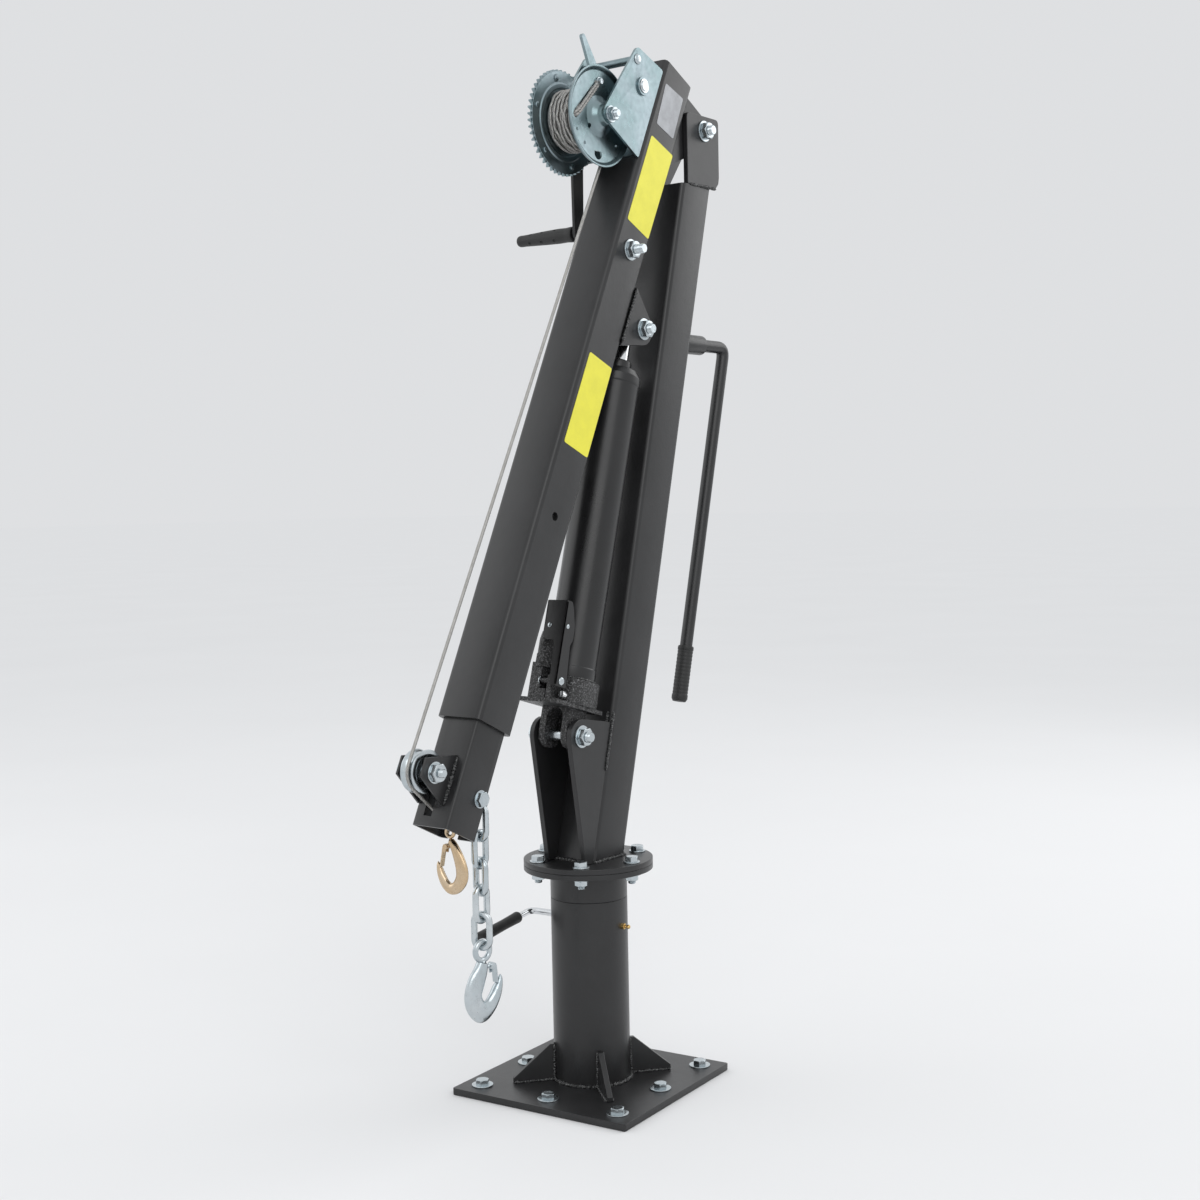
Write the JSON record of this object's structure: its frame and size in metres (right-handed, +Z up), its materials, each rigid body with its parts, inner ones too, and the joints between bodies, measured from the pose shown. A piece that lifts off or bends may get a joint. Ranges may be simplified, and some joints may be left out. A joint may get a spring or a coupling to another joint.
{
  "type": "hitch-mounted crane",
  "caption": "Swing crane on a bolted base: leaning mast, folding telescopic boom on a hand pumped ram, hand winch with wire rope and hook, and a chain with hook.",
  "frame": {"origin": "centre of the base plate's underside, on the column's axis", "axes": "+Z up along the column, the boom reaches towards -Y, the crank is on the -X side"},
  "size_m": [0.3681, 0.7808, 1.5722],
  "materials": {
    "grey_paint": "satin dark grey paint over welded steel tube and plate",
    "black_paint": "gloss black enamel",
    "cast_black": "rough casting painted black",
    "zinc": "bright zinc plating",
    "yellow_zinc": "yellow passivated zinc plating",
    "bright_steel": "polished hard chrome",
    "black_grip": "moulded black rubber",
    "rope_wire": "laid galvanised wire rope",
    "brass": "plain brass"
  },
  "bodies": {
    "root": {"base_plate": "grey_paint", "column_tube": "grey_paint", "gusset_1": "grey_paint", "gusset_2": "grey_paint", "gusset_3": "grey_paint", "gusset_4": "grey_paint", "grease_nipple": "brass"},
    "turret": {"swivel_collar": "grey_paint", "mast_flange": "grey_paint", "mast_tube": "grey_paint", "mast_ram_plate_right": "grey_paint", "mast_ram_plate_left": "grey_paint", "head_cheek_right": "grey_paint", "head_cheek_left": "grey_paint", "handle_socket": "grey_paint", "lower_ram_bolt": "zinc", "boom_pivot_bolt": "zinc"},
    "boom": {"boom_tube": "grey_paint", "boom_hinge_lugs": "grey_paint", "boom_ram_plate_right": "grey_paint", "boom_ram_plate_left": "grey_paint", "upper_ram_bolt_nut": "zinc", "upper_ram_bolt_head": "zinc", "extension_lock_bolt": "zinc", "winch_frame": "zinc", "drum_bolt": "zinc"},
    "extension": {"extension_tube": "grey_paint", "extension_end": "grey_paint", "pulley_cheek_right": "grey_paint", "pulley_cheek_left": "grey_paint", "pulley_bolt": "zinc", "chain_bolt": "zinc", "winch_rope": "rope_wire"},
    "lock_screw": {"lock_screw": "bright_steel", "lock_grip": "black_grip"},
    "handle": {"slewing_handle": "grey_paint", "handle_grip": "black_grip"},
    "jack": {"ram_base": "cast_black", "ram_cylinder": "black_paint"},
    "pump_socket": {"pump_socket": "black_paint"},
    "release_valve": {"release_valve": "bright_steel"},
    "ram": {"ram_rod": "bright_steel"},
    "drum": {"drum": "zinc", "drum_gear": "zinc", "rope_winding": "rope_wire"},
    "crankshaft": {"crankshaft": "zinc", "crank_arm": "black_paint"},
    "crank_grip": {"crank_grip": "black_grip"},
    "pawl": {"pawl": "zinc"},
    "tip_pulley": {"tip_pulley": "zinc"},
    "chain_link_1": {"chain_link_1": "zinc"},
    "chain_link_2": {"chain_link_2": "zinc"},
    "chain_link_3": {"chain_link_3": "zinc"},
    "chain_link_4": {"chain_link_4": "zinc"},
    "chain_link_5": {"chain_link_5": "zinc"},
    "chain_link_6": {"chain_link_6": "zinc"},
    "chain_hook": {"chain_hook": "zinc"},
    "chain_hook_latch": {"chain_hook_latch": "zinc"},
    "rope_hook": {"rope_hook": "yellow_zinc"},
    "rope_hook_latch": {"rope_hook_latch": "yellow_zinc"}
  },
  "joints": [
    {"name": "slew", "type": "hinge", "parent": "root", "child": "turret", "pos_m": [0, 0, 0.338], "axis": [0, 0, 1], "continuous": true},
    {"name": "lock_screw_turn", "type": "hinge", "parent": "root", "child": "lock_screw", "pos_m": [0, 0, 0.249], "axis": [-0.9971, -0.0767, 0], "continuous": true},
    {"name": "handle_swing", "type": "hinge", "parent": "turret", "child": "handle", "pos_m": [0, 0.3, 1.117], "axis": [0, 1, 0], "range_deg": [-90, 90]},
    {"name": "boom_lift", "type": "hinge", "parent": "turret", "child": "boom", "pos_m": [0, 0.285, 1.446], "axis": [-1, 0, 0], "range_deg": [0, 85]},
    {"name": "jack_swing", "type": "hinge", "parent": "turret", "child": "jack", "pos_m": [0, -0.06, 0.532], "axis": [1, 0, 0], "range_deg": [0, 15.6]},
    {"name": "ram_slide", "type": "slide", "parent": "jack", "child": "ram", "axis": [0, 0.2779, 0.9606], "range_m": [0, 0.4398]},
    {"name": "pump_stroke", "type": "hinge", "parent": "jack", "child": "pump_socket", "pos_m": [0.013, -0.09531, 0.61508], "axis": [1, 0, 0], "range_deg": [0, 15]},
    {"name": "release_valve_turn", "type": "hinge", "parent": "jack", "child": "release_valve", "pos_m": [0.027, -0.0837, 0.59403], "axis": [0, -0.9606, 0.2779], "range_deg": [0, 90]},
    {"name": "drum_spin", "type": "hinge", "parent": "boom", "child": "drum", "pos_m": [0, 0.04023, 1.43326], "axis": [1, 0, 0], "continuous": true},
    {"name": "crankshaft_spin", "type": "hinge", "parent": "boom", "child": "crankshaft", "pos_m": [0, 0.12134, 1.48736], "axis": [1, 0, 0], "continuous": true},
    {"name": "crank_grip_spin", "type": "hinge", "parent": "crankshaft", "child": "crank_grip", "pos_m": [-0.15, 0.12134, 1.28336], "axis": [1, 0, 0], "continuous": true},
    {"name": "pawl_lift", "type": "hinge", "parent": "boom", "child": "pawl", "pos_m": [-0.045, 0.11008, 1.52539], "axis": [-1, 0, 0], "range_deg": [0, 35]},
    {"name": "extension_slide", "type": "slide", "parent": "boom", "child": "extension", "axis": [0, -0.4415, -0.8973], "range_m": [0, 0.436]},
    {"name": "tip_pulley_spin", "type": "hinge", "parent": "extension", "child": "tip_pulley", "pos_m": [-0.0083, -0.34768, 0.51799], "axis": [1, 0, 0], "continuous": true},
    {"name": "chain_link_1_swing", "type": "hinge", "parent": "extension", "child": "chain_link_1", "pos_m": [0.0098, -0.27754, 0.47344], "axis": [1, 0, 0], "range_deg": [0, 21.3]},
    {"name": "chain_link_2_swing", "type": "hinge", "parent": "chain_link_1", "child": "chain_link_2", "pos_m": [0.0098, -0.25493, 0.46231], "axis": [1, 0, 0], "range_deg": [0, 64]},
    {"name": "chain_link_3_swing", "type": "hinge", "parent": "chain_link_2", "child": "chain_link_3", "pos_m": [0.0098, -0.25493, 0.41311], "axis": [1, 0, 0], "range_deg": [-8, 16]},
    {"name": "chain_link_4_swing", "type": "hinge", "parent": "chain_link_3", "child": "chain_link_4", "pos_m": [0.0098, -0.25493, 0.37541], "axis": [-0.2756, -0.9613, 0], "range_deg": [-16, 16]},
    {"name": "chain_link_5_swing", "type": "hinge", "parent": "chain_link_4", "child": "chain_link_5", "pos_m": [0.0098, -0.25493, 0.33771], "axis": [1, 0, 0], "range_deg": [-8, 16]},
    {"name": "chain_link_6_swing", "type": "hinge", "parent": "chain_link_5", "child": "chain_link_6", "pos_m": [0.0098, -0.25493, 0.30001], "axis": [0.2756, -0.9613, 0], "range_deg": [-16, 16]},
    {"name": "chain_hook_swing", "type": "hinge", "parent": "chain_link_6", "child": "chain_hook", "pos_m": [0.0098, -0.25493, 0.26231], "axis": [0.9945, -0.1045, 0], "range_deg": [-8, 8]},
    {"name": "chain_hook_latch_turn", "type": "hinge", "parent": "chain_hook", "child": "chain_hook_latch", "pos_m": [0.01158, -0.23802, 0.23411], "axis": [-0.9945, 0.1045, 0], "range_deg": [0, 35], "stiffness_Nm_per_rad": 0.05, "springref_deg": -22.92},
    {"name": "rope_hook_swing", "type": "hinge", "parent": "extension", "child": "rope_hook", "pos_m": [-0.0083, -0.29473, 0.43509], "axis": [1, 0, 0], "range_deg": [0, 85.1]},
    {"name": "rope_hook_latch_turn", "type": "hinge", "parent": "rope_hook", "child": "rope_hook_latch", "pos_m": [-0.0153, -0.29473, 0.40709], "axis": [0, -1, 0], "range_deg": [0, 35], "stiffness_Nm_per_rad": 0.05, "springref_deg": -22.92}
  ],
  "couplings": [
    {"joint": "jack_swing", "follows": "boom_lift", "ratio": 0.18239},
    {"joint": "ram_slide", "follows": "boom_lift", "m_per_rad": 0.29641},
    {"joint": "crankshaft_spin", "follows": "drum_spin", "ratio": -3.3333},
    {"joint": "chain_link_1_swing", "follows": "boom_lift", "ratio": 0.2494},
    {"joint": "chain_link_2_swing", "follows": "boom_lift", "ratio": 0.7506},
    {"joint": "rope_hook_swing", "follows": "boom_lift", "ratio": 1}
  ]
}
